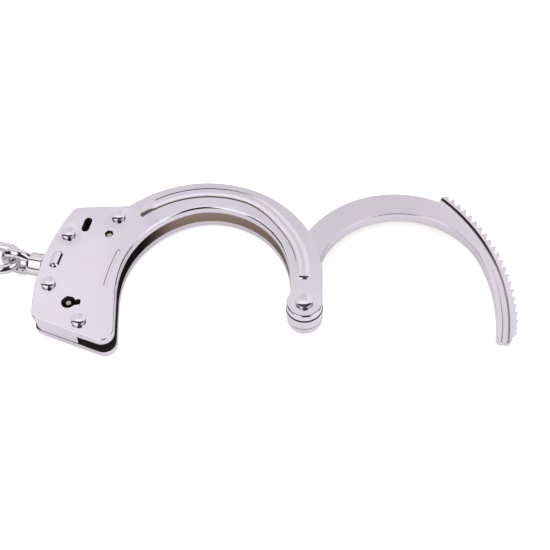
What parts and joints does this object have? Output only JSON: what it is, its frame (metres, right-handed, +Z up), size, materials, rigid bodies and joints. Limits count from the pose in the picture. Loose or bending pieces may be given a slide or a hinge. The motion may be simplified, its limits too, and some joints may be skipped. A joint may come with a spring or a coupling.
{
  "type": "handcuffs",
  "caption": "Double-locking chain handcuffs: one cuff swung open, the other closed, joined by two links between swivels.",
  "frame": {"origin": "on cuff A's pivot axis, in the plane the pair lies on", "axes": "+Z up, out of the keyhole side, along the pivot axis; +X from cuff B towards cuff A's open strand; +Y towards the top of cuff A's fixed bow"},
  "size_m": [0.276, 0.1054, 0.0121],
  "materials": {
    "plate": "bright nickel plate",
    "strand": "bright nickel plate",
    "rivet": "polished nickel plate",
    "inner": "dull hardened steel",
    "spring": "blued spring steel",
    "chain": "polished nickel plate"
  },
  "bodies": {
    "cuff_a": {"front_plate_a": "plate", "rear_plate_a": "plate", "top_block_a": "plate", "base_block_a": "plate", "swivel_block_a": "plate", "rivet_top_a": "rivet", "rivet_swivel_upper_a": "rivet", "rivet_swivel_lower_a": "rivet", "rivet_base_a": "rivet", "pivot_rivet_a": "rivet", "pawl_pin_a": "inner", "key_post_a": "inner", "pawl_spring_a": "spring"},
    "strand_a": {"single_strand_a": "strand"},
    "pawl_a": {"pawl_a": "inner"},
    "double_lock_a": {"double_lock_bar_a": "inner"},
    "swivel_a": {"swivel_a": "chain"},
    "strand_b": {"single_strand_b": "strand"},
    "pawl_b": {"pawl_b": "inner"},
    "double_lock_b": {"double_lock_bar_b": "inner"},
    "swivel_b": {"swivel_b": "chain"},
    "link_1": {"chain_link_1": "chain"},
    "link_2": {"chain_link_2": "chain"},
    "cuff_b": {"front_plate_b": "plate", "rear_plate_b": "plate", "top_block_b": "plate", "base_block_b": "plate", "swivel_block_b": "plate", "rivet_top_b": "rivet", "rivet_swivel_upper_b": "rivet", "rivet_swivel_lower_b": "rivet", "rivet_base_b": "rivet", "pivot_rivet_b": "rivet", "pawl_pin_b": "inner", "key_post_b": "inner", "pawl_spring_b": "spring"}
  },
  "joints": [
    {"name": "strand_a_swing", "type": "hinge", "parent": "cuff_a", "child": "strand_a", "pos_m": [0, 0, 0.00605], "axis": [0, 0, -1], "continuous": true},
    {"name": "pawl_a_engage", "type": "hinge", "parent": "cuff_a", "child": "pawl_a", "pos_m": [-0.06015, 0.0301, 0.00605], "axis": [0, 0, 1], "range_deg": [0, 9]},
    {"name": "double_lock_a_set", "type": "slide", "parent": "cuff_a", "child": "double_lock_a", "axis": [-0.2538, -0.9673, 0], "range_m": [0, 0.003]},
    {"name": "swivel_a_spin", "type": "hinge", "parent": "cuff_a", "child": "swivel_a", "pos_m": [-0.07622, 0.02114, 0.00605], "axis": [-0.9636, 0.2672, 0], "continuous": true},
    {"name": "link_1_tilt", "type": "hinge", "parent": "swivel_a", "child": "link_1", "pos_m": [-0.09005, 0.02497, 0.00605], "axis": [-0.2672, -0.9636, 0], "range_deg": [-70, 70]},
    {"name": "link_2_bend", "type": "hinge", "parent": "link_1", "child": "link_2", "pos_m": [-0.10123, 0.02807, 0.00605], "axis": [0, 0, 1], "range_deg": [-70, 70]},
    {"name": "swivel_b_tilt", "type": "hinge", "parent": "link_2", "child": "swivel_b", "pos_m": [-0.11236, 0.03116, 0.00605], "axis": [0.2672, 0.9636, 0], "range_deg": [-70, 70]},
    {"name": "cuff_b_spin", "type": "hinge", "parent": "swivel_b", "child": "cuff_b", "pos_m": [-0.12951, 0.03592, 0.00605], "axis": [-0.9636, 0.2672, 0], "continuous": true},
    {"name": "strand_b_swing", "type": "hinge", "parent": "cuff_b", "child": "strand_b", "pos_m": [-0.20574, 0.05706, 0.00605], "axis": [0, 0, -1], "continuous": true},
    {"name": "pawl_b_engage", "type": "hinge", "parent": "cuff_b", "child": "pawl_b", "pos_m": [-0.14558, 0.02695, 0.00605], "axis": [0, 0, 1], "range_deg": [0, 9]},
    {"name": "double_lock_b_set", "type": "slide", "parent": "cuff_b", "child": "double_lock_b", "axis": [0.2538, 0.9673, 0], "range_m": [0, 0.003]}
  ]
}
